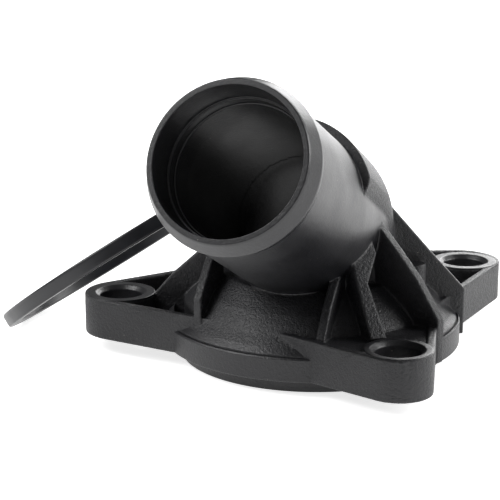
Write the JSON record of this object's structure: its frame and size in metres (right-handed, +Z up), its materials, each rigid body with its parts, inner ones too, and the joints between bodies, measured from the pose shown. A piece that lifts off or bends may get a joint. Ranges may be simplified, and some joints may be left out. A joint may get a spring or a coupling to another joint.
{
  "type": "thermostat housing cover",
  "caption": "Black moulded thermostat housing cover with an angled hose neck, bolt lugs and its rubber seal ring leaning beside it.",
  "frame": {"origin": "bottom centre of the box round the cover and its ring, on the ground", "axes": "+Z up along the round spigot's axis, -Y towards the front bolt lug, and the hose neck rises towards -X and -Y"},
  "size_m": [0.1138, 0.1058, 0.0644],
  "materials": {
    "black_nylon": "as moulded, with a fine texture on the body and a smoother neck",
    "black_rubber": "smooth moulded rubber"
  },
  "bodies": {
    "root": {"housing_cover": "black_nylon", "seal_ring": "black_rubber"}
  },
  "joints": []
}
